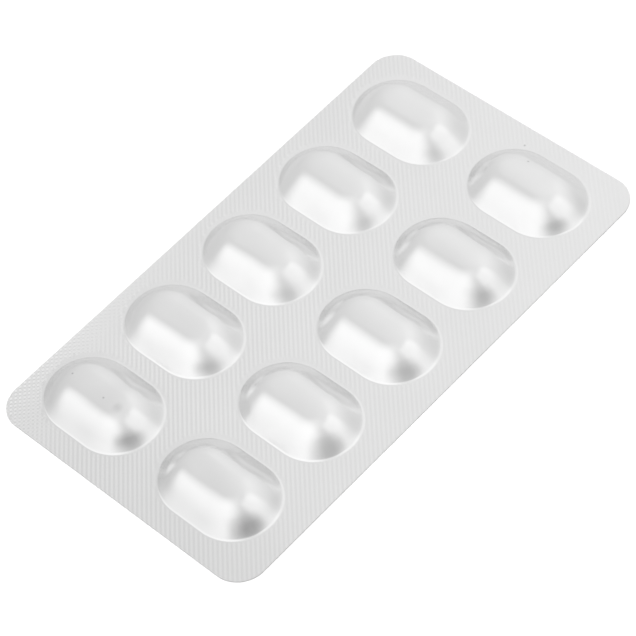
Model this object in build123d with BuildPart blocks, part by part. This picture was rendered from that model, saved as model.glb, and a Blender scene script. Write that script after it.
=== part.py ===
"""Cold-formed aluminium blister pack with two columns of five capsule-shaped pockets.

The pack lies on its flat lidding foil with the pockets up.  The formed foil carries the
pockets, the lidding foil closes them underneath, and the two are sealed together over the
whole flange.  It is opaque and sealed, so it is one solid: a thin flange plate, cut to a
rectangle with rounded corners, that rises into ten closed pockets.

Frame: millimetres, +Z up, origin at the middle of the underside, X across the two
columns of pockets and Y along the five rows.
"""

import os

from build123d import *

# Pack outline, cut by a die
pack_width = 57.1
pack_length = 100.0
corner_radius = 5.2

# Foils, sealed face to face: the formed laminate and the lidding foil
formed_foil = 0.15
lidding_foil = 0.05
flange_top = formed_foil + lidding_foil

# Pocket grid.  The die cut sits a little off the pockets and is turned a little against them.
columns = 2
rows = 5
column_pitch = 26.75
row_pitch = 19.15
grid_shift = (-0.72, 0.3)
grid_turn = -0.26

# Pocket mouth, where the foil leaves the flange, and the forming plug's smaller nose
mouth_length = 22.6
mouth_width = 15.4
nose_length = 14.2
nose_width = 7.3

# Pocket section: straight walls from mouth to nose, under a crown that curves across the pocket
pocket_rise = 4.4
crown_radius = 23.0
shoulder_radius = 2.2
foot_radius = 0.4
pack_height = flange_top + pocket_rise

# One pocket, filled, its length along X
with BuildPart() as pocket:
    with BuildSketch(Plane.XY.offset(flange_top)):
        SlotOverall(mouth_length, mouth_width)
    with BuildSketch(Plane.XY.offset(pack_height)):
        SlotOverall(nose_length, nose_width)
    loft(ruled=True)

    # The crown takes the sharp top edge down, and the shoulder rounds it
    with BuildSketch(Plane.YZ) as crown_section:
        with Locations((0, pack_height - crown_radius)):
            Circle(crown_radius)
    extrude(amount=mouth_length, both=True, mode=Mode.INTERSECT)
    crown = pocket.faces().filter_by(GeomType.CYLINDER).sort_by(Axis.Z)[-1]
    fillet(crown.edges(), radius=shoulder_radius)

# The pack: the flange with its ten pockets, and a small round where each one leaves it
with BuildPart() as blister_pack:
    with BuildSketch():
        RectangleRounded(pack_width, pack_length, corner_radius)
    extrude(amount=flange_top)
    with Locations(Location((*grid_shift, 0), (0, 0, grid_turn))):
        with GridLocations(column_pitch, row_pitch, columns, rows):
            add(pocket.part)
    flange = blister_pack.faces().filter_by(Axis.Z).sort_by(SortBy.AREA)[-2]
    mouths = flange.inner_wires().edges()
    fillet(mouths, radius=foot_radius)

print(f"pocket volume {pocket.part.volume / 1000:.3f} cm3, pack {blister_pack.part.volume / 1000:.3f} cm3")

os.makedirs("parts", exist_ok=True)
blister_pack.part.label = "blister_pack"
export_step(blister_pack.part, "parts/blister_pack.step")
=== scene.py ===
"""Looks of a cold-formed aluminium blister pack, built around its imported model.

The pack is two foils.  The formed foil is a stiff laminate with the pockets drawn up out of it,
and the lidding foil closes them underneath.  A heated plate with a diamond knurl seals the two
together over the whole flange, all but a bare band round each pocket, and a die cuts the pack out.

Both foils are surfaces worked out with numpy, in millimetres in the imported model's frame:
X across the pack along each pocket, Y along the rows, Z up.  They are put into meshes in metres.
"""

import logging
import math
from collections.abc import Sequence
from dataclasses import dataclass, field
from enum import Enum, IntEnum

import bpy
import numpy as np
from mathutils import Matrix, Vector


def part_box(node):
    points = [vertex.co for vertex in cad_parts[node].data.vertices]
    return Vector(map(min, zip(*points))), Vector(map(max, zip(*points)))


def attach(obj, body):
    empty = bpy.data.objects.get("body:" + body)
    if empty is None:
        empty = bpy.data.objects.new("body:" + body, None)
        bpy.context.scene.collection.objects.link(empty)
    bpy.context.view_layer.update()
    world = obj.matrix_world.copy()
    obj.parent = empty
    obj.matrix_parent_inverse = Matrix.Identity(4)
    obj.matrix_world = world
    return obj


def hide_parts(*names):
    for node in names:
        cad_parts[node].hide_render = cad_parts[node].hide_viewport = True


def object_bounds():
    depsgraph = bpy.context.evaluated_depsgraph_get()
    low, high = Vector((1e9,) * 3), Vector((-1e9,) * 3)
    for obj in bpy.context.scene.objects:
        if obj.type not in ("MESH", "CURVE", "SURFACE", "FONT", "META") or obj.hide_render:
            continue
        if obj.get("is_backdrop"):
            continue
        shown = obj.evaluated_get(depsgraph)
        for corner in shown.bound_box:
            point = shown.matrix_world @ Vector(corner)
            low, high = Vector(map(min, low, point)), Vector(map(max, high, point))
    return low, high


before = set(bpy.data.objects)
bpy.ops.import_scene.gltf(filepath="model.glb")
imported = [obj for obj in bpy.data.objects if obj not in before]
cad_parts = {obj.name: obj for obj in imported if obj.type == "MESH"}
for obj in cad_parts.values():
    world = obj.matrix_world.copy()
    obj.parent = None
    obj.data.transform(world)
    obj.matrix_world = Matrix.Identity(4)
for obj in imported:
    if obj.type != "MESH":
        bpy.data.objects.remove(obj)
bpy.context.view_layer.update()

MM = 0.001
NODE = "blister_pack"
BODY = "root"
LOG = logging.getLogger("blister_pack")

# A share or a length that is never let sink lower, before something is divided by it
LEAST = 1e-6
# A direction at 45 degrees to X and Y has this along each
DIAGONAL = 1 / math.sqrt(2)
WHITE = (1.0, 1.0, 1.0, 1.0)
# A colour mix has its two colours at these inputs, and its result at this output
MIX_FIRST, MIX_SECOND, MIX_RESULT = 6, 7, 2
# Noise with soft lumps and only a little fine grain in them
SOFT_LUMPS = {"Detail": 3.0, "Roughness": 0.55}

Array = np.ndarray
Socket = bpy.types.NodeSocket
Tree = bpy.types.NodeTree


class Face(Enum):
    """Which way a sheet's outer face looks."""

    UP = 1
    DOWN = -1


class Finish(IntEnum):
    """A foil's finishes, numbered as its mesh holds them."""

    SKIN = 0
    EDGE = 1


# ---------------------------------------------------------------------------------------------
# Shapes, as functions of two parameters
# ---------------------------------------------------------------------------------------------


@dataclass(frozen=True)
class GrooveSet:
    """Straight grooves side by side, pressed deeper towards one end of the pack.

    Attributes:
        across: Direction across the grooves, a unit vector.
        depth: Depth in the middle of the pack, in mm.
        lean: How fast the depth grows along X and along Y: 0.01 is about a hundredth per mm.
    """

    across: tuple[float, float]
    depth: float
    lean: tuple[float, float]

    def relief(self, x: Array, y: Array, pitch: float) -> Array:
        """Works out the height, which rises and falls evenly from groove to groove.

        The height goes straight from minus half the depth in a groove to plus half of it on the
        ridge between two, and the depth grows as the exponential of the lean times the place.

        Args:
            x: Places across the pack, in mm.
            y: Places along the pack, in mm.
            pitch: Distance between neighbouring grooves, in mm.

        Returns:
            Height over the set's middle, in mm.
        """
        turns = (x * self.across[0] + y * self.across[1]) / pitch
        wave = 0.5 - np.abs(2 * np.mod(turns, 1.0) - 1)
        return wave * self.depth * np.exp(x * self.lean[0] + y * self.lean[1])


@dataclass(frozen=True)
class SealKnurl:
    """Knurl that the seal plate presses into the foils: two sets of grooves that cross.

    Attributes:
        pitch: Distance between neighbouring grooves of a set, in mm.
        sets: The two sets.
        band: Width of the bare band round a pocket's mouth, in mm.
        shift: How far the seal plate sits off the pockets, in mm.
        fade: Width over which the pattern runs out at the bare band, in mm.
    """

    pitch: float = 0.754
    sets: tuple[GrooveSet, ...] = (
        GrooveSet((DIAGONAL, DIAGONAL), 0.029, (-0.018, -0.0115)),
        GrooveSet((-DIAGONAL, DIAGONAL), 0.0105, (-0.078, -0.002)),
    )
    band: float = 0.45
    shift: tuple[float, float] = (-0.5, 0.4)
    fade: float = 0.15

    def relief(self, x: Array, y: Array) -> Array:
        """Works out the pattern's height: the two sets' heights added up.

        Between neighbouring creases the foil stays flat.

        Args:
            x: Places across the pack, in mm.
            y: Places along the pack, in mm.

        Returns:
            Height over the pattern's middle, in mm.
        """
        return sum(grooves.relief(x, y, self.pitch) for grooves in self.sets)


@dataclass(frozen=True)
class PackOutline:
    """Rectangle with round corners that the die cuts.

    Attributes:
        half: Half of its width and half of its length, in mm.
        corner: Radius of its corners, in mm.
    """

    half: tuple[float, float]
    corner: float = 5.2

    def clearance(self, x: Array, y: Array) -> Array:
        """Works out the distance from the cut edge.

        That is the corner's radius less the distance from the box inside the corners.

        Args:
            x: Places across the pack, in mm.
            y: Places along the pack, in mm.

        Returns:
            Distances in mm, positive on the pack.
        """
        qx = np.abs(x) - (self.half[0] - self.corner)
        qy = np.abs(y) - (self.half[1] - self.corner)
        beyond = np.hypot(np.maximum(qx, 0), np.maximum(qy, 0))
        return self.corner - beyond - np.minimum(np.maximum(qx, qy), 0)

    def pull(self, x: Array, y: Array) -> tuple[Array, Array]:
        """Moves points to the nearest place on the outline.

        Args:
            x: Places across the pack, in mm.
            y: Places along the pack, in mm.

        Returns:
            The moved places.
        """
        cx, cy = self.half[0] - self.corner, self.half[1] - self.corner
        qx, qy = np.abs(x) - cx, np.abs(y) - cy
        reach = np.maximum(np.hypot(qx, qy), LEAST)
        in_corner = (qx > 0) & (qy > 0)
        on_side = ~in_corner & (qx > qy)
        on_end = ~in_corner & ~on_side
        new_x = np.where(in_corner, cx + qx / reach * self.corner, np.abs(x))
        new_y = np.where(in_corner, cy + qy / reach * self.corner, np.abs(y))
        new_x = np.where(on_side, self.half[0], new_x)
        new_y = np.where(on_end, self.half[1], new_y)
        return np.copysign(new_x, x), np.copysign(new_y, y)


@dataclass(frozen=True)
class Pocket:
    """A pocket drawn by a plug: straight walls from a wide mouth to a narrower nose.

    Every level line of the wall is a slot with elliptical ends about the same two end centres.
    A level is counted in shares of the rise: 0 at the mouth and 1 at the nose.

    Attributes:
        centre: Its middle, in mm.
        rise: Height of its crown over the flange, in mm.
        spine: Distance of the end centres from the middle, in mm.
        mouth: An end's half length and half width at the mouth, in mm.
        nose: The same at the nose.
        sag: How far the wall hangs below a straight one halfway up, as a share of the rise.
        crown_radius: Radius of the crown across the pocket, in mm.
        shoulder: Height over which wall and crown blend, in mm.
        foot: Height over which wall and flange blend, in mm, at the middle of the pocket.
        foot_swing: How much more that is on the +X and on the +Y side, and less opposite, in mm.
        dent: Depth of the shallow dents that the tablet and the draw leave, in mm.
        dent_waves: Number of waves that add up to the dents.
        dent_spread: Usual distance between dents, in mm.
        dent_stretch: Least and most that a wave's length is stretched.
        dent_from: Where the dents start and where they are full, as shares of the rise.
        foot_rings: Number of rings round the foot.
        wall_rings: Number of rings up the wall.
        shoulder_rings: Number of rings over the shoulder.
        shoulder_levels: Levels between which those lie.
        crown_rings: Number of rings from there to the middle of the crown.
        crown_power: How they are spaced: below 1 they crowd towards the shoulder.
        seed: Which of many sets of dents it has.
    """

    centre: tuple[float, float]
    rise: float
    spine: float = 3.25
    mouth: tuple[float, float] = (8.07, 7.72)
    nose: tuple[float, float] = (3.87, 3.68)
    sag: float = 0.025
    crown_radius: float = 23.0
    shoulder: float = 2.13
    foot: float = 0.22
    foot_swing: tuple[float, float] = (0.09, 0.08)
    dent: float = 0.025
    dent_waves: int = 4
    dent_spread: float = 8.0
    dent_stretch: tuple[float, float] = (0.7, 1.6)
    dent_from: tuple[float, float] = (0.15, 0.45)
    foot_rings: int = 6
    wall_rings: int = 6
    shoulder_rings: int = 13
    shoulder_levels: tuple[float, float] = (0.6, 1.4)
    crown_rings: int = 6
    crown_power: float = 0.8
    seed: int = 0

    @property
    def foot_level(self) -> float:
        """Level at which the widest of the foot's round runs out into the flange."""
        return -(self.foot + math.hypot(*self.foot_swing)) / self.rise

    @property
    def levels(self) -> Array:
        """Levels of the rings from the mouth up: round the foot, up the wall, over the shoulder."""
        start, stop = self.shoulder_levels
        return np.concatenate([
            np.linspace(self.foot_level, -self.foot_level, self.foot_rings),
            np.linspace(-self.foot_level, start, self.wall_rings)[1:],
            np.linspace(start, stop, self.shoulder_rings)[1:],
        ])

    def half_axes(self, level: Array | float) -> tuple[Array | float, Array | float]:
        """An end's half length and half width at a level, in mm."""
        return tuple(m + (n - m) * level for m, n in zip(self.mouth, self.nose))

    def clearance(self, x: Array, y: Array, level: float) -> Array:
        """Works out the distance from a level line, measured straight from the spine.

        Args:
            x: Places across the pack, in mm.
            y: Places along the pack, in mm.
            level: Which level line.

        Returns:
            Distances in mm, positive outside the line.
        """
        x, y = x - self.centre[0], y - self.centre[1]
        a, b = self.half_axes(level)
        px = np.maximum(np.abs(x) - self.spine, 0)
        share = np.maximum(np.hypot(px / a, y / b), LEAST)
        return np.hypot(px, y) * (1 - 1 / share)

    def pull(self, x: Array, y: Array, level: float) -> tuple[Array, Array]:
        """Moves points straight to or from the spine until they lie on a level line.

        Args:
            x: Places across the pack, in mm.
            y: Places along the pack, in mm.
            level: Which level line.

        Returns:
            The moved places.
        """
        x, y = x - self.centre[0], y - self.centre[1]
        a, b = self.half_axes(level)
        end = np.clip(x, -self.spine, self.spine)
        share = np.maximum(np.hypot((x - end) / a, y / b), LEAST)
        return end + (x - end) / share + self.centre[0], y / share + self.centre[1]

    def dents(self, x: Array, y: Array) -> Array:
        """Works out the dents: faint waves that cross, each at its own angle and length.

        Args:
            x: Places along the pocket from its middle, in mm.
            y: Places across it.

        Returns:
            Heights in mm.
        """
        chance = np.random.default_rng(self.seed)
        height = np.zeros_like(x)
        for _ in range(self.dent_waves):
            angle, phase = chance.uniform(0, math.pi), chance.uniform(0, 2 * math.pi)
            turns = 2 * math.pi / (self.dent_spread * chance.uniform(*self.dent_stretch))
            way = x * math.cos(angle) + y * math.sin(angle)
            height += self.dent * np.sin(turns * way + phase)
        return height

    def surface(self, x: Array, y: Array) -> Array:
        """Carries the pocket's section round its mouth.

        Each column starts at a point of the mouth and climbs towards the spine.  Up to the last
        level it follows the level lines, and then it shrinks evenly to the middle of the crown.
        The wall is a straight ramp less its sag, a parabola over the level.  The crown is a
        paraboloid about the spine.  The height is the lower of the two, less the shoulder's blend,
        and then the higher of that and the flange, plus the foot's blend and the dents.

        Args:
            x: The mouth's points, in mm, in order round it.
            y: The same.

        Returns:
            Points in mm, ring by ring: (rings, columns, 3).  The last ring is the middle itself.
        """
        x, y = x - self.centre[0], y - self.centre[1]
        half_length, half_width = self.half_axes(self.foot_level)
        end = np.clip(x, -self.spine, self.spine)
        along, across = (x - end) / half_length, y / half_width
        level = self.levels[:, None]
        a, b = self.half_axes(level)
        ring_x, ring_y = end + along * a, across * b
        hang = 4 * self.sag * np.clip(level, 0, 1) * np.clip(1 - level, 0, 1)
        wall = self.rise * np.repeat(level - hang, len(x), axis=1)

        # Past the last level the wall would be far above the crown, so it is set to any such height
        shrink = (np.linspace(1, 0, self.crown_rings + 1)[1:] ** self.crown_power)[:, None]
        ring_x = np.concatenate([ring_x, ring_x[-1] * shrink])
        ring_y = np.concatenate([ring_y, ring_y[-1] * shrink])
        wall = np.concatenate([wall, np.full((self.crown_rings, len(x)), 2 * self.rise)])

        beyond = np.maximum(np.abs(ring_x) - self.spine, 0)
        crown = self.rise - (ring_y**2 + beyond**2) / (2 * self.crown_radius)
        height = np.minimum(wall, crown) - blend(wall - crown, self.shoulder)
        foot = self.foot + self.foot_swing[0] * x / (self.spine + half_length)
        foot = foot + self.foot_swing[1] * y / half_width
        height = np.maximum(height, 0) + blend(height, foot)
        start, full = self.dent_from
        dented = np.clip((height / self.rise - start) / (full - start), 0, 1)
        height += self.dents(ring_x, ring_y) * dented
        return np.stack([ring_x + self.centre[0], ring_y + self.centre[1], height], axis=-1)


def blend(gap: Array, width: Array | float) -> Array:
    """How far a blend stands off two surfaces' corner: a parabola that is tangent to both."""
    return np.maximum(width - np.abs(gap), 0) ** 2 / (4 * width)


@dataclass
class Sheet:
    """A flat lattice of half-pitch cells, turned 45 degrees and cut to its outlines.

    Its points are the places where the knurl's creases cross, so an edge runs along every ridge
    and groove.  Points next to an outline are moved onto it.

    Attributes:
        knurl: The pattern that sets the lattice.
        outline: The cut edge.
        pockets: Pockets whose mouths are left open.
        level: Level of the pockets' open mouths.
        merge: Points on an outline nearer than this share of the pitch become one.
        sliver: A triangle with all its corners on outlines is left out if its middle is nearer
            than this share of the pitch to one.
        x: Its points' places across the pack, in mm, once it is cut.
        y: Their places along the pack, in mm.
        triangles: Rows of three point numbers.
        loops: Point numbers round the cut edge, and then round each pocket.
    """

    knurl: SealKnurl
    outline: PackOutline
    pockets: Sequence[Pocket]
    level: float
    merge: float = 0.15
    sliver: float = 0.02
    x: Array = field(init=False)
    y: Array = field(init=False)
    triangles: Array = field(init=False)
    loops: list[Array] = field(init=False)

    def clearances(self, x: Array, y: Array) -> Array:
        """Works out the distance from each outline.

        Args:
            x: Places across the pack, in mm.
            y: Places along the pack, in mm.

        Returns:
            Distances in mm, positive on the sheet: the cut edge's row and then each pocket's.
        """
        rows = [self.outline.clearance(x, y)]
        rows += [p.clearance(x, y, self.level) for p in self.pockets]
        return np.stack(rows)

    def lattice(self) -> tuple[Array, Array, Array]:
        """Lays out the whole lattice.

        Returns:
            Points across and along the pack in mm, and triangles as rows of three points.
        """
        step = self.knurl.pitch / 2
        count = math.ceil(math.hypot(*self.outline.half) / step) + 1
        i, j = np.meshgrid(*[np.arange(-count, count + 1)] * 2, indexing="ij")
        x, y = ((i - j) * step * DIAGONAL).ravel(), ((i + j) * step * DIAGONAL).ravel()
        number = np.arange(i.size).reshape(i.shape)
        low, right = number[:-1, :-1], number[1:, :-1]
        top, left = number[1:, 1:], number[:-1, 1:]
        even = ((i + j)[:-1, :-1] % 2 == 0)[..., None]
        # The cells' diagonals all end at every other point, so that they mirror each other
        first = np.where(even, np.stack([low, right, top], -1), np.stack([low, right, left], -1))
        second = np.where(even, np.stack([low, top, left], -1), np.stack([right, top, left], -1))
        return x, y, np.concatenate([first.reshape(-1, 3), second.reshape(-1, 3)])

    def cut(self) -> None:
        """Cuts the lattice to its outlines, and finds the points round each one in order."""
        x, y, triangles = self.lattice()
        rows = self.clearances(x, y)
        nearest, distance = rows.argmin(0), rows.min(0)

        # Wherever an edge crosses an outline, its nearer end moves onto the outline
        pairs = np.concatenate([triangles[:, [0, 1]], triangles[:, [1, 2]], triangles[:, [2, 0]]])
        crossing = pairs[distance[pairs[:, 0]] * distance[pairs[:, 1]] < 0]
        nearer = np.abs(distance[crossing]).argmin(1)
        moved = np.zeros(len(x), bool)
        moved[crossing[np.arange(len(crossing)), nearer]] = True
        for number in range(len(rows)):
            pick = moved & (nearest == number)
            if number == 0:
                x[pick], y[pick] = self.outline.pull(x[pick], y[pick])
            else:
                x[pick], y[pick] = self.pockets[number - 1].pull(x[pick], y[pick], self.level)
        distance[moved] = 0

        # Two ends that meet on an outline become one
        ends = np.sort(crossing[moved[crossing].all(1)], axis=1)
        gap = np.hypot(*(c[ends[:, 0]] - c[ends[:, 1]] for c in (x, y)))
        ends = ends[gap < self.merge * self.knurl.pitch]
        partner = np.arange(len(x))
        partner[ends[:, 1]] = ends[:, 0]
        triangles = partner[triangles]
        triangles = triangles[(triangles != np.roll(triangles, 1, axis=1)).all(1)]

        kept = triangles[(distance[triangles] >= 0).all(1)]
        middle = self.clearances(x[kept].mean(1), y[kept].mean(1)).min(0)
        kept = kept[~moved[kept].all(1) | (middle > self.sliver * self.knurl.pitch)]
        used, flat = np.unique(kept, return_inverse=True)
        self.x, self.y, self.triangles = x[used], y[used], flat.reshape(-1, 3)
        self.loops = self.find_loops(nearest[used])

    def find_loops(self, nearest: Array) -> list[Array]:
        """Orders the points round each outline.

        Args:
            nearest: Which outline each point is nearest to.

        Returns:
            For each outline its points' numbers, anticlockwise seen from above.
        """
        t = self.triangles
        edges = np.sort(np.concatenate([t[:, [0, 1]], t[:, [1, 2]], t[:, [2, 0]]]), axis=1)
        edges, uses = np.unique(edges, axis=0, return_counts=True)
        rim = edges[uses == 1]
        loops = []
        for number in range(1 + len(self.pockets)):
            mine = rim[(nearest[rim] == number).all(1)]
            points = np.unique(mine)
            cx, cy = (0.0, 0.0) if number == 0 else self.pockets[number - 1].centre
            turn = np.arctan2(self.y[points] - cy, self.x[points] - cx)
            ordered = points[np.argsort(turn)]
            ring = np.sort(np.stack([ordered, np.roll(ordered, -1)], 1), axis=1)
            closed = len(mine) == len(ordered)
            if not closed or (np.unique(ring, axis=0) != np.unique(mine, axis=0)).any():
                raise ValueError(f"outline {number} is not one closed ring")
            loops.append(ordered)
        return loops

    def sealed(self, x: Array, y: Array, pockets: Sequence[Pocket]) -> Array:
        """Works out where the foils are sealed, rising smoothly over the edge of the bare band.

        Args:
            x: Places across the pack, in mm.
            y: Places along the pack, in mm.
            pockets: The pockets that the seal plate spares.

        Returns:
            Shares: 0 on a pocket and its bare band, 1 on the knurl.
        """
        dx, dy = self.knurl.shift
        gap = np.stack([p.clearance(x - dx, y - dy, 0.0) for p in pockets]).min(0)
        share = np.clip((gap - self.knurl.band) / self.knurl.fade, 0, 1)
        return share * share * (3 - 2 * share)


@dataclass
class MeshParts:
    """Collects points and faces of one piece.

    Attributes:
        points: Blocks of points, in mm.
        faces: Rows of three or four point numbers.
        smooth: For each face whether it is shaded smooth.
        finishes: For each face the number of its finish.
        count: Number of points so far.
    """

    points: list[Array] = field(default_factory=list)
    faces: list[list[int]] = field(default_factory=list)
    smooth: list[bool] = field(default_factory=list)
    finishes: list[int] = field(default_factory=list)
    count: int = 0

    def add_points(self, block: Array) -> Array:
        """Adds points.

        Args:
            block: Points in mm, of shape (..., 3).

        Returns:
            Their numbers, in the same shape but for the last axis.
        """
        flat = block.reshape(-1, 3)
        numbers = self.count + np.arange(len(flat)).reshape(block.shape[:-1])
        self.points.append(flat)
        self.count += len(flat)
        return numbers

    def add_faces(self, rows: Array, smooth: bool | Array, finish: Finish = Finish.SKIN) -> None:
        """Adds faces.

        Args:
            rows: Rows of three or four point numbers, anticlockwise seen from outside.
            smooth: Whether they are shaded smooth, for all or for each.
            finish: Their finish.
        """
        self.faces += rows.tolist()
        self.smooth += np.broadcast_to(smooth, len(rows)).tolist()
        self.finishes += [finish.value] * len(rows)

    def add_rings(self, rings: Array, smooth: bool, finish: Finish = Finish.SKIN) -> None:
        """Joins closed rings to each other with four-sided faces.

        Args:
            rings: Point numbers, a row a ring, anticlockwise seen from outside if they shrink.
            smooth: Whether the faces are shaded smooth.
            finish: Their finish.
        """
        following = np.roll(rings, -1, axis=1)
        quads = np.stack([rings[:-1], following[:-1], following[1:], rings[1:]], -1)
        self.add_faces(quads.reshape(-1, 4), smooth, finish)

    def add_fan(self, ring: Array, middle: int, smooth: bool) -> None:
        """Joins a closed ring to one point with triangles.

        Args:
            ring: The ring's point numbers, anticlockwise seen from outside.
            middle: The one point's number.
            smooth: Whether the triangles are shaded smooth.
        """
        fan = np.stack([ring, np.roll(ring, -1), np.full_like(ring, middle)], -1)
        self.add_faces(fan, smooth)

    def make(self, name: str) -> bpy.types.Object:
        """Makes the piece's object, at the origin, in metres.

        Args:
            name: Name of the piece.

        Returns:
            The new object, linked to the scene.
        """
        points = np.concatenate(self.points) * MM
        mesh = bpy.data.meshes.new(name)
        mesh.from_pydata(points.tolist(), [], self.faces)
        mesh.polygons.foreach_set("use_smooth", self.smooth)
        mesh.polygons.foreach_set("material_index", self.finishes)
        mesh.update()
        mesh.validate()
        piece = bpy.data.objects.new(name, mesh)
        bpy.context.scene.collection.objects.link(piece)
        return piece


# ---------------------------------------------------------------------------------------------
# Finishes
# ---------------------------------------------------------------------------------------------


def linear(code: str) -> tuple[float, float, float, float]:
    """Turns an sRGB colour to linear, by the standard's straight foot and its 2.4 power.

    Args:
        code: The colour as hex, such as "#C8C9CA".

    Returns:
        Linear red, green and blue, and full opacity.
    """
    shares = [int(code[k : k + 2], 16) / 255 for k in (1, 3, 5)]
    values = [s / 12.92 if s <= 0.04045 else ((s + 0.055) / 1.055) ** 2.4 for s in shares]
    return (*values, 1.0)


def add_node(
    tree: Tree, kind: str, links: dict | None = None, inputs: dict | None = None, **settings: object
) -> bpy.types.Node:
    """Adds a node with its settings and links.

    Args:
        tree: The node tree it goes in.
        kind: Blender's name of the node's type, without "ShaderNode".
        links: Input name or number to the output socket that feeds it.
        inputs: Input name or number to its value.
        **settings: The node's own properties.

    Returns:
        The new node.
    """
    node = tree.nodes.new("ShaderNode" + kind)
    for key, value in settings.items():
        setattr(node, key, value)
    for key, value in (inputs or {}).items():
        node.inputs[key].default_value = value
    for key, socket in (links or {}).items():
        tree.links.new(socket, node.inputs[key])
    return node


@dataclass(frozen=True)
class Mark:
    """A spot of dirt on the foil.

    Attributes:
        x: Its place across the pack, in mm.
        y: Its place along the pack, in mm.
        radius: Distance at which it has faded out, in mm.
        shade: Share of the light that it swallows at its middle.
    """

    x: float
    y: float
    radius: float
    shade: float


@dataclass(frozen=True)
class SoftTemperFoil:
    """Soft-temper aluminium foil, cold rolled and lacquered.

    To the eye it is a pale, colourless satin metal: it mirrors broad light and dark softly, with
    no sharp image, and is faintly streaked along the way it was rolled.

    Attributes:
        name: The material's name.
        pale: Its usual colour.
        dull: Its colour where the lacquer is a little thicker.
        roughness: Usual roughness.
        roughness_swing: How far the roughness wanders.
        cloud_mm: Size of the cloudy changes of colour.
        streak_mm: Width of a rolling streak, drawn as coarse as it needs to show.
        streak_squeeze: A streak's width as a share of its length along Y.
        streak_depth_mm: Depth of a rolling streak.
        mottle_mm: Size of the mottle that drawing leaves in the foil.
        mottle_depth_mm: Depth of the mottle.
        mottle_span: Values of the mottle between which the roughness goes from least to most.
        marks: Dirt on it.
        painted_shade_end: Painted shade: share of the light that it loses at the -Y end, where it
            is sealed hardest and the knurl is deepest.
        painted_shade_from: Where along the pack that painted shade starts and where it is full, in
            mm.
    """

    name: str
    pale: str = "#EFEFEF"
    dull: str = "#E9E9E9"
    roughness: float = 0.195
    roughness_swing: float = 0.03
    cloud_mm: float = 14.0
    streak_mm: float = 0.25
    streak_squeeze: float = 0.03
    streak_depth_mm: float = 0.0003
    mottle_mm: float = 1.6
    mottle_depth_mm: float = 0.0012
    mottle_span: tuple[float, float] = (0.3, 0.7)
    marks: tuple[Mark, ...] = ()
    painted_shade_end: float = 0.06
    painted_shade_from: tuple[float, float] = (-28.0, -50.0)

    def make(self) -> bpy.types.Material:
        """Builds the material's nodes.

        Returns:
            The new material.
        """
        material = bpy.data.materials.new(self.name)
        material.use_nodes = True
        tree = material.node_tree
        tree.nodes.clear()
        place = add_node(tree, "TexCoord").outputs["Object"]
        cloud = self.noise(tree, place, self.cloud_mm)
        colours = {MIX_FIRST: linear(self.dull), MIX_SECOND: linear(self.pale)}
        mix = add_node(tree, "Mix", {0: cloud}, colours, data_type="RGBA")
        colour = mix.outputs[MIX_RESULT]
        for mark in self.marks:
            colour = self.add_mark(tree, place, colour, mark)
        # Painted shade: the colour darkens towards the -Y end and stands in for the shade in the
        # deeper knurl there
        along = add_node(tree, "SeparateXYZ", {0: place}).outputs["Y"]
        start, full = (y * MM for y in self.painted_shade_from)
        ends = {"From Min": start, "From Max": full, "To Min": 1.0, "To Max": 1 - self.painted_shade_end}
        light = add_node(tree, "MapRange", {"Value": along}, ends, interpolation_type="SMOOTHSTEP")
        colour = add_node(
            tree, "VectorMath", {0: colour, 1: light.outputs[0]}, operation="MULTIPLY"
        ).outputs[0]
        drawn_out = {"Scale": (1.0, self.streak_squeeze, 1.0)}
        rolled = add_node(tree, "Mapping", {"Vector": place}, drawn_out).outputs[0]
        streak = self.noise(tree, rolled, self.streak_mm)
        mottle = self.noise(tree, place, self.mottle_mm)
        low, high = self.roughness - self.roughness_swing, self.roughness + self.roughness_swing
        least, most = self.mottle_span
        ends = {"From Min": least, "From Max": most, "To Min": low, "To Max": high}
        gloss = add_node(tree, "MapRange", {"Value": mottle}, ends)
        coarse = add_node(tree, "Bump", {"Height": mottle}, {"Distance": self.mottle_depth_mm * MM})
        fine = add_node(
            tree,
            "Bump",
            {"Height": streak, "Normal": coarse.outputs[0]},
            {"Distance": self.streak_depth_mm * MM},
        )
        shader = add_node(
            tree,
            "BsdfPrincipled",
            {"Base Color": colour, "Roughness": gloss.outputs[0], "Normal": fine.outputs[0]},
            {"Metallic": 1.0},
        )
        add_node(tree, "OutputMaterial", {"Surface": shader.outputs[0]})
        return material

    def noise(self, tree: Tree, place: Socket, size_mm: float) -> Socket:
        """Adds noise whose lumps are of a given size in mm, and returns its value."""
        inputs = {"Scale": 1 / (size_mm * MM), **SOFT_LUMPS}
        return add_node(tree, "TexNoise", {"Vector": place}, inputs).outputs[0]

    def add_mark(self, tree: Tree, place: Socket, colour: Socket, mark: Mark) -> Socket:
        """Darkens the colour round a mark's middle, seen from above.

        Args:
            tree: The material's node tree.
            place: Socket with the place on the pack.
            colour: Socket with the colour so far.
            mark: The mark.

        Returns:
            Socket with the new colour.
        """
        flat = add_node(tree, "VectorMath", {0: place}, {1: (1, 1, 0)}, operation="MULTIPLY")
        middle = (mark.x * MM, mark.y * MM, 0)
        away = add_node(tree, "VectorMath", {0: flat.outputs[0]}, {1: middle}, operation="DISTANCE")
        light = add_node(
            tree,
            "MapRange",
            {"Value": away.outputs["Value"]},
            {"From Max": mark.radius * MM, "To Min": 1 - mark.shade, "To Max": 1.0},
            interpolation_type="SMOOTHSTEP",
        )
        return add_node(
            tree, "VectorMath", {0: colour, 1: light.outputs[0]}, operation="MULTIPLY"
        ).outputs[0]


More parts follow.
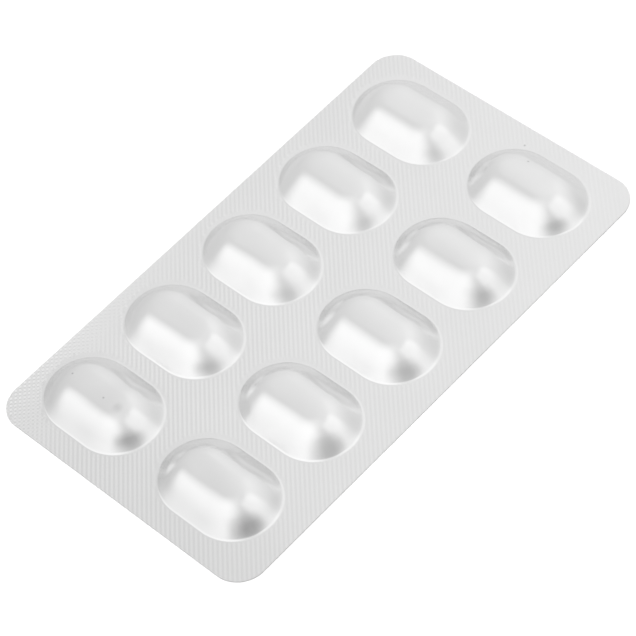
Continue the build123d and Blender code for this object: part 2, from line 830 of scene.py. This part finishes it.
@dataclass(frozen=True)
class ShearedEdge:
    """Laminate where the die sheared it: aluminium and nylon dragged over each other.

    To the eye it is a thin dull line, darker than the foil's face: partly the sheared laminate's
    own colour and partly painted contact shade where the edge meets the floor.

    Attributes:
        name: The material's name.
        bright: Colour of the dragged metal.
        dark: Colour of the nylon between.
        metallic: Share of it that is metal.
        roughness: Its roughness.
        drag_mm: Usual distance between drag lines, drawn as coarse as it needs to show.
        drag_detail: How many times finer drag lines are laid over those.
    """

    name: str = "sheared_laminate_contact_shade"
    bright: str = "#C6C6C5"
    dark: str = "#92918F"
    metallic: float = 0.7
    roughness: float = 0.5
    drag_mm: float = 0.6
    drag_detail: float = 2.0

    def make(self) -> bpy.types.Material:
        """Builds the material's nodes.

        Returns:
            The new material.
        """
        material = bpy.data.materials.new(self.name)
        material.use_nodes = True
        tree = material.node_tree
        tree.nodes.clear()
        place = add_node(tree, "TexCoord").outputs["Object"]
        lines = {"Scale": 1 / (self.drag_mm * MM), "Detail": self.drag_detail}
        drag = add_node(tree, "TexNoise", {"Vector": place}, lines)
        # Both colours are darker than the foil's: partly the cut laminate's own colour and partly
        # painted contact shade along the floor
        colours = {MIX_FIRST: linear(self.dark), MIX_SECOND: linear(self.bright)}
        mix = add_node(tree, "Mix", {0: drag.outputs[0]}, colours, data_type="RGBA")
        inputs = {"Metallic": self.metallic, "Roughness": self.roughness}
        shader = add_node(tree, "BsdfPrincipled", {"Base Color": mix.outputs[MIX_RESULT]}, inputs)
        add_node(tree, "OutputMaterial", {"Surface": shader.outputs[0]})
        return material


# ---------------------------------------------------------------------------------------------
# The pack
# ---------------------------------------------------------------------------------------------


@dataclass
class BlisterPack:
    """The sealed pack: a formed foil and a lidding foil.

    Attributes:
        low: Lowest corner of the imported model's box, in mm.
        high: Highest corner, in mm.
        columns: Number of pockets across.
        rows: Number of pockets along.
        pitch: Distance between pockets, across and along, in mm.
        shift: How far the pockets sit off the cut outline's middle, in mm.
        lean: How far the columns of pockets lean towards +X, in mm per mm along them.
        seam: Height of the seam between the foils, in mm.
        seam_gap: Space left between the foils' hidden faces at the seam, in mm.
        flange: Middle height of the knurl on the formed foil, in mm.
        lidding_share: Depth of the knurl on the lidding foil, as a share of the formed foil's.
        knurl: The seal's pattern.
        marks: Specks and one smear on the formed foil.
        pockets: The pockets, column by column.
        outline: The cut edge.
    """

    low: Vector
    high: Vector
    columns: int = 2
    rows: int = 5
    pitch: tuple[float, float] = (26.75, 19.15)
    shift: tuple[float, float] = (-0.72, 0.3)
    lean: float = 0.0046
    seam: float = 0.07
    seam_gap: float = 0.004
    flange: float = 0.17
    lidding_share: float = 0.35
    knurl: SealKnurl = SealKnurl()
    marks: tuple[Mark, ...] = (
        Mark(-20.4, -38.25, 0.3, 0.35),
        Mark(-12.6, -38.65, 0.3, 0.3),
        Mark(10.7, 41.55, 0.3, 0.35),
        Mark(5.55, 46.4, 0.3, 0.35),
        Mark(-9.4, -38.55, 1.3, 0.12),
    )
    pockets: list[Pocket] = field(init=False)
    outline: PackOutline = field(init=False)

    def __post_init__(self) -> None:
        """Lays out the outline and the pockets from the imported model's box."""
        self.outline = PackOutline((self.high.x, self.high.y))
        rise = self.high.z - self.flange
        self.pockets = []
        for column in range(self.columns):
            for row in range(self.rows):
                y = self.shift[1] + (row - (self.rows - 1) / 2) * self.pitch[1]
                x = self.shift[0] + (column - (self.columns - 1) / 2) * self.pitch[0]
                place = (x + y * self.lean, y)
                self.pockets.append(Pocket(place, rise, seed=column * self.rows + row))

    def formed_foil(self) -> bpy.types.Object:
        """Builds the formed foil: knurled flange, pockets, cut edge and sealed underside."""
        sheet = Sheet(self.knurl, self.outline, self.pockets, self.pockets[0].foot_level)
        sheet.cut()
        parts = MeshParts()
        seal = sheet.sealed(sheet.x, sheet.y, self.pockets)
        z = self.flange + self.knurl.relief(sheet.x, sheet.y) * seal
        flange = parts.add_points(np.stack([sheet.x, sheet.y, z], -1))
        knurled = seal[sheet.triangles].max(1) > 0
        parts.add_faces(flange[sheet.triangles], ~knurled)

        for pocket, loop in zip(self.pockets, sheet.loops[1:]):
            rings = pocket.surface(sheet.x[loop], sheet.y[loop])
            rings[..., 2] += self.flange
            inner = parts.add_points(rings[1:-1])
            middle = parts.add_points(rings[-1, :1])
            parts.add_rings(np.concatenate([flange[loop][None], inner]), smooth=True)
            parts.add_fan(inner[-1], int(middle[0]), smooth=True)

        self.close(parts, flange[sheet.loops[0]], sheet, self.seam + self.seam_gap, Face.UP)
        return parts.make("formed_foil")

    def lidding_foil(self) -> bpy.types.Object:
        """Builds the lidding foil: flat, knurled from below but for the bare places."""
        sheet = Sheet(self.knurl, self.outline, (), 0.0)
        sheet.cut()
        parts = MeshParts()
        seal = sheet.sealed(sheet.x, sheet.y, self.pockets)
        relief = self.lidding_share * self.knurl.relief(sheet.x, sheet.y) * seal
        z = self.low.z + relief - relief.min()
        under = parts.add_points(np.stack([sheet.x, sheet.y, z], -1))
        knurled = seal[sheet.triangles].max(1) > 0
        parts.add_faces(under[sheet.triangles][:, ::-1], ~knurled)
        self.close(parts, under[sheet.loops[0]], sheet, self.seam, Face.DOWN)
        return parts.make("lidding_foil")

    def close(self, parts: MeshParts, rim: Array, sheet: Sheet, height: float, face: Face) -> None:
        """Adds a foil's cut edge and its hidden face at the seam.

        Args:
            parts: The foil's mesh so far.
            rim: Numbers of the points round the cut outline.
            sheet: The foil's lattice.
            height: Height of the hidden face, in mm.
            face: Which way the foil's outer face looks.
        """
        loop = sheet.loops[0]
        seam = np.stack([sheet.x[loop], sheet.y[loop], np.full(len(loop), height)], -1)
        edge = parts.add_points(seam)
        middle = parts.add_points(np.array([[0.0, 0.0, height]]))
        if face is Face.UP:
            parts.add_rings(np.stack([edge, rim]), smooth=False, finish=Finish.EDGE)
            parts.add_fan(edge[::-1], int(middle[0]), smooth=False)
        else:
            parts.add_rings(np.stack([rim, edge]), smooth=False, finish=Finish.EDGE)
            parts.add_fan(edge, int(middle[0]), smooth=False)

    def build(self) -> list[bpy.types.Object]:
        """Builds and dresses both foils.

        Returns:
            The pieces.
        """
        edge = ShearedEdge().make()
        skins = {
            self.formed_foil(): SoftTemperFoil("formed_laminate_soft_temper", marks=self.marks),
            self.lidding_foil(): SoftTemperFoil("lidding_foil_lacquered", roughness=0.25),
        }
        for piece, skin in skins.items():
            piece.data.materials.append(skin.make())
            piece.data.materials.append(edge)
            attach(piece, BODY)
            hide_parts(NODE)
        return list(skins)


# ---------------------------------------------------------------------------------------------
# The studio
# ---------------------------------------------------------------------------------------------


def towards(azimuth: float, elevation: float) -> Vector:
    """Direction at an azimuth from +X towards +Y and a height over the floor, both in degrees."""
    a, e = math.radians(azimuth), math.radians(elevation)
    return Vector((math.cos(a) * math.cos(e), math.sin(a) * math.cos(e), math.sin(e)))


@dataclass(frozen=True)
class Panel:
    """A flat board that stands in the studio and faces the pack, with edges that fade out.

    Attributes:
        name: The board's name.
        azimuth: Direction of its middle from the pack, in degrees from +X towards +Y.
        elevation: Height of its middle over the floor, in degrees.
        distance: Distance of its middle, in m.
        size: Width and height, in m.
        fade: Width over which each edge fades, in m.
    """

    name: str
    azimuth: float
    elevation: float
    distance: float
    size: tuple[float, float]
    fade: float

    def stand(self) -> tuple[bpy.types.Object, Tree, Socket]:
        """Stands the board in the studio, unseen by the camera itself.

        Returns:
            The board's object, its material's empty node tree, and a socket in it that is 1 on
            the board and fades to 0 over its edges.
        """
        w, h = ((side + self.fade) / 2 for side in self.size)
        mesh = bpy.data.meshes.new(self.name)
        mesh.from_pydata([(-w, -h, 0), (-w, h, 0), (w, h, 0), (w, -h, 0)], [], [(0, 1, 2, 3)])
        board = bpy.data.objects.new(self.name, mesh)
        out = towards(self.azimuth, self.elevation)
        board.location = out * self.distance
        board.rotation_euler = out.to_track_quat("Z", "Y").to_euler()
        board.visible_camera = board.visible_shadow = False
        bpy.context.scene.collection.objects.link(board)
        board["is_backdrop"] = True

        material = bpy.data.materials.new(self.name + "_cloth")
        material.use_nodes = True
        tree = material.node_tree
        tree.nodes.clear()
        mesh.materials.append(material)
        place = add_node(tree, "SeparateXYZ", {0: add_node(tree, "TexCoord").outputs["Object"]})
        shares = []
        for axis, side in zip("XY", self.size):
            away = add_node(tree, "Math", {0: place.outputs[axis]}, operation="ABSOLUTE")
            full, gone = (side - self.fade) / 2, (side + self.fade) / 2
            ends = {"From Min": full, "From Max": gone, "To Min": 1.0, "To Max": 0.0}
            share = add_node(
                tree, "MapRange", {"Value": away.outputs[0]}, ends, interpolation_type="SMOOTHSTEP"
            )
            shares.append(share.outputs[0])
        both = add_node(tree, "Math", {0: shares[0], 1: shares[1]}, operation="MULTIPLY")
        return board, tree, both.outputs[0]


@dataclass(frozen=True)
class Softbox(Panel):
    """A soft light, brightest in the middle.

    Attributes:
        radiance: What its face adds to the tent behind it, 1 being as bright as paper white.
    """

    radiance: float

    def make(self) -> None:
        """Makes the light."""
        _, tree, share = self.stand()
        power = add_node(tree, "Math", {0: share}, {1: self.radiance}, operation="MULTIPLY")
        glow = add_node(tree, "Emission", {"Strength": power.outputs[0]}, {"Color": WHITE})
        clear = add_node(tree, "BsdfTransparent")
        both = add_node(tree, "AddShader", {0: clear.outputs[0], 1: glow.outputs[0]})
        add_node(tree, "OutputMaterial", {"Surface": both.outputs[0]})


@dataclass(frozen=True)
class Flag(Panel):
    """A dark card that only shows as a dark accent in the foil.

    Attributes:
        radiance: How bright the card itself is.
    """

    radiance: float

    def make(self) -> None:
        """Makes the card, so that it doesn't dim the floor."""
        board, tree, share = self.stand()
        board.visible_diffuse = False
        card = add_node(tree, "Emission", None, {"Color": WHITE, "Strength": self.radiance})
        clear = add_node(tree, "BsdfTransparent")
        both = add_node(tree, "MixShader", {0: share, 1: clear.outputs[0], 2: card.outputs[0]})
        add_node(tree, "OutputMaterial", {"Surface": both.outputs[0]})


@dataclass(frozen=True)
class FloorLight:
    """A light overhead that whitens the floor round the pack and doesn't show in the foil.

    Attributes:
        height: Its height, in m.
        side: Side of its square face, in m.
        radiance: Brightness of its face.
    """

    height: float = 0.6
    side: float = 0.5
    radiance: float = 1.6

    def make(self) -> None:
        """Makes the light."""
        light = bpy.data.lights.new("floor_light", "AREA")
        light.shape, light.size = "SQUARE", self.side
        light.energy = self.radiance * math.pi * self.side**2
        lamp = bpy.data.objects.new("floor_light", light)
        lamp.location = (0, 0, self.height)
        lamp.visible_camera = lamp.visible_glossy = False
        bpy.context.scene.collection.objects.link(lamp)


@dataclass(frozen=True)
class Wash:
    """A broad patch of the light tent that is brighter or dimmer than the rest.

    Attributes:
        azimuth: Direction of its middle, in degrees from +X towards +Y.
        elevation: Height of its middle over the floor, in degrees.
        gather: How narrow it is: the power of the cosine that it falls off with.
        amount: What it adds at its middle.
    """

    azimuth: float
    elevation: float
    gather: float
    amount: float

    def add(self, tree: Tree, way: Socket, total: Socket) -> Socket:
        """Adds the wash to the tent's brightness.

        Args:
            tree: The world's node tree.
            way: Socket with the direction looked in.
            total: Socket with the brightness so far.

        Returns:
            Socket with the new brightness.
        """
        middle = towards(self.azimuth, self.elevation)
        cosine = add_node(tree, "VectorMath", {0: way}, {1: middle}, operation="DOT_PRODUCT")
        facing = add_node(tree, "Math", {0: cosine.outputs["Value"]}, {1: 0.0}, operation="MAXIMUM")
        fall = add_node(tree, "Math", {0: facing.outputs[0]}, {1: self.gather}, operation="POWER")
        links = {0: fall.outputs[0], 2: total}
        scaled = add_node(tree, "Math", links, {1: self.amount}, operation="MULTIPLY_ADD")
        return scaled.outputs[0]


@dataclass(frozen=True)
class LightTent:
    """White cloth all round, a little brighter to one side.

    Attributes:
        base: Its brightness level with the floor, 1 being as bright as paper white.
        slope: What its brightness gains along +X, +Y and +Z.
        washes: Brighter and dimmer patches.
    """

    base: float = 0.8025
    slope: tuple[float, float, float] = (0.0082, 0.1226, 0.0019)
    washes: tuple[Wash, ...] = (
        Wash(-69.7, 70.8, 10.1, 0.198),
        Wash(53.5, -19.4, 9.2, -0.686),
        Wash(165.0, 2.0, 20.0, -0.07),
    )

    def make(self) -> None:
        """Makes the world that stands in for the tent."""
        world = bpy.data.worlds.new("light_tent")
        world.use_nodes = True
        tree = world.node_tree
        tree.nodes.clear()
        way = add_node(tree, "TexCoord").outputs["Generated"]
        lean = add_node(tree, "VectorMath", {0: way}, {1: self.slope}, operation="DOT_PRODUCT")
        total = add_node(tree, "Math", {0: lean.outputs["Value"]}, {1: self.base}).outputs[0]
        for wash in self.washes:
            total = wash.add(tree, way, total)
        back = add_node(tree, "Background", {"Strength": total}, {"Color": WHITE})
        add_node(tree, "OutputWorld", {"Surface": back.outputs[0]})
        bpy.context.scene.world = world


@dataclass(frozen=True)
class Camera:
    """The camera, set by what it looks at.

    Attributes:
        target: Point that it looks at, in mm.
        azimuth: Its direction from the target, in degrees from -Y towards +X.
        elevation: Its height over the flange, in degrees.
        roll: Its turn about its own axis, in degrees.
        distance: Its distance from the target, in mm.
        lens: Focal length, in mm.
        sensor: Width of the sensor, in mm.
        clip: Nearest and farthest that it sees, in m.
    """

    target: tuple[float, float, float] = (1.984, -3.078, 0.2)
    azimuth: float = 51.594
    elevation: float = 52.610
    roll: float = 11.424
    distance: float = 457.29
    lens: float = 155.07
    sensor: float = 36.0
    clip: tuple[float, float] = (0.01, 20.0)

    def make(self) -> None:
        """Makes the camera and gives it to the scene."""
        a, e = math.radians(self.azimuth), math.radians(self.elevation)
        back = Vector((math.sin(a) * math.cos(e), -math.cos(a) * math.cos(e), math.sin(e)))
        level_right = (-back).cross(Vector((0, 0, 1))).normalized()
        level_up = level_right.cross(-back)
        turn = math.radians(self.roll)
        up = level_up * math.cos(turn) + level_right * math.sin(turn)
        right = (-back).cross(up)
        place = (Vector(self.target) + back * self.distance) * MM
        facing = Matrix((right, up, back)).transposed().to_4x4()
        data = bpy.data.cameras.new("camera")
        data.sensor_width, data.lens = self.sensor, self.lens
        data.clip_start, data.clip_end = self.clip
        camera = bpy.data.objects.new("camera", data)
        bpy.context.scene.collection.objects.link(camera)
        camera.matrix_world = Matrix.Translation(place) @ facing
        bpy.context.scene.camera = camera


@dataclass(frozen=True)
class Ground:
    """A level sheet of paper that the pack lies on.

    Attributes:
        name: Its name.
        side: Side of its square, in m.
        height: Its height, in m.
    """

    name: str
    side: float
    height: float

    def lay(self) -> tuple[bpy.types.Object, Tree]:
        """Lays the sheet down.

        Returns:
            Its object, and its material's empty node tree.
        """
        half = self.side / 2
        mesh = bpy.data.meshes.new(self.name)
        z = self.height
        corners = [(-half, -half, z), (half, -half, z), (half, half, z), (-half, half, z)]
        mesh.from_pydata(corners, [], [(0, 1, 2, 3)])
        sheet = bpy.data.objects.new(self.name, mesh)
        bpy.context.scene.collection.objects.link(sheet)
        sheet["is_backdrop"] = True
        material = bpy.data.materials.new(self.name + "_paper")
        material.use_nodes = True
        material.node_tree.nodes.clear()
        mesh.materials.append(material)
        return sheet, material.node_tree


@dataclass(frozen=True)
class Floor(Ground):
    """The plain pale floor: matt paper.

    Attributes:
        colour: Its colour.
    """

    colour: str

    def make(self) -> None:
        """Makes the floor."""
        _, tree = self.lay()
        paper = add_node(tree, "BsdfDiffuse", None, {"Color": linear(self.colour)})
        add_node(tree, "OutputMaterial", {"Surface": paper.outputs[0]})


@dataclass(frozen=True)
class ReflectedFloor(Ground):
    """The floor as the foil mirrors it: a little darker than paper white, most so in front.

    It glows evenly and lies a hair above the paper, so that the pack's own shade isn't in it.

    Attributes:
        front: Its brightness in front of the pack's -Y end.
        back: Its brightness behind the +Y end.
        reach: Distance of the pack's ends from its middle, in m.
    """

    front: float
    back: float
    reach: float = 0.05

    def make(self) -> None:
        """Makes it so that only shiny things show it."""
        sheet, tree = self.lay()
        sheet.visible_camera = sheet.visible_diffuse = sheet.visible_shadow = False
        place = add_node(tree, "SeparateXYZ", {0: add_node(tree, "TexCoord").outputs["Object"]})
        ends = {"From Min": -self.reach, "From Max": self.reach}
        ends |= {"To Min": self.front, "To Max": self.back}
        power = add_node(tree, "MapRange", {"Value": place.outputs["Y"]}, ends)
        glow = add_node(tree, "Emission", {"Strength": power.outputs[0]}, {"Color": WHITE})
        add_node(tree, "OutputMaterial", {"Surface": glow.outputs[0]})


@dataclass(frozen=True)
class Studio:
    """Pale floor, a light tent, soft lights and a flag.

    Attributes:
        tent: The light all round.
        fittings: What stands round the pack and what lies under it.
    """

    tent: LightTent = LightTent()
    fittings: tuple[Floor | ReflectedFloor | Softbox | Flag | FloorLight, ...] = (
        Floor("floor", 12.0, 0.0, "#F7F7F7"),
        ReflectedFloor("reflected_floor", 12.0, 0.00001, 0.70, 0.80),
        Softbox("front_softbox", -103, 34.5, 0.55, (1.11, 0.633), 0.6, 0.4386),
        Softbox("side_softbox", 24, 44.4, 0.624, (0.522, 0.485), 0.237, 0.2235),
        Softbox("back_softbox", 92.0, 48.8, 0.5, (0.60, 0.319), 0.56, 0.141),
        Flag("front_flag", -28.0, 24.7, 0.403, (0.61, 0.0634), 0.246, 0.0088),
        FloorLight(),
    )

    def make(self) -> None:
        """Makes the tent and everything in it."""
        self.tent.make()
        for fitting in self.fittings:
            fitting.make()
        bpy.context.scene.view_settings.view_transform = "Standard"


def main() -> None:
    """Builds the camera, the studio and the pack."""
    logging.basicConfig(level=logging.INFO, format="%(name)s: %(message)s")
    Camera().make()
    Studio().make()
    low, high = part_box(NODE)
    for piece in BlisterPack(low / MM, high / MM).build():
        mesh = piece.data
        points, faces = len(mesh.vertices), len(mesh.polygons)
        LOG.info("%s rides on %s: %d points, %d faces", piece.name, BODY, points, faces)
    low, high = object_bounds()


if __name__ == "__main__":
    main()
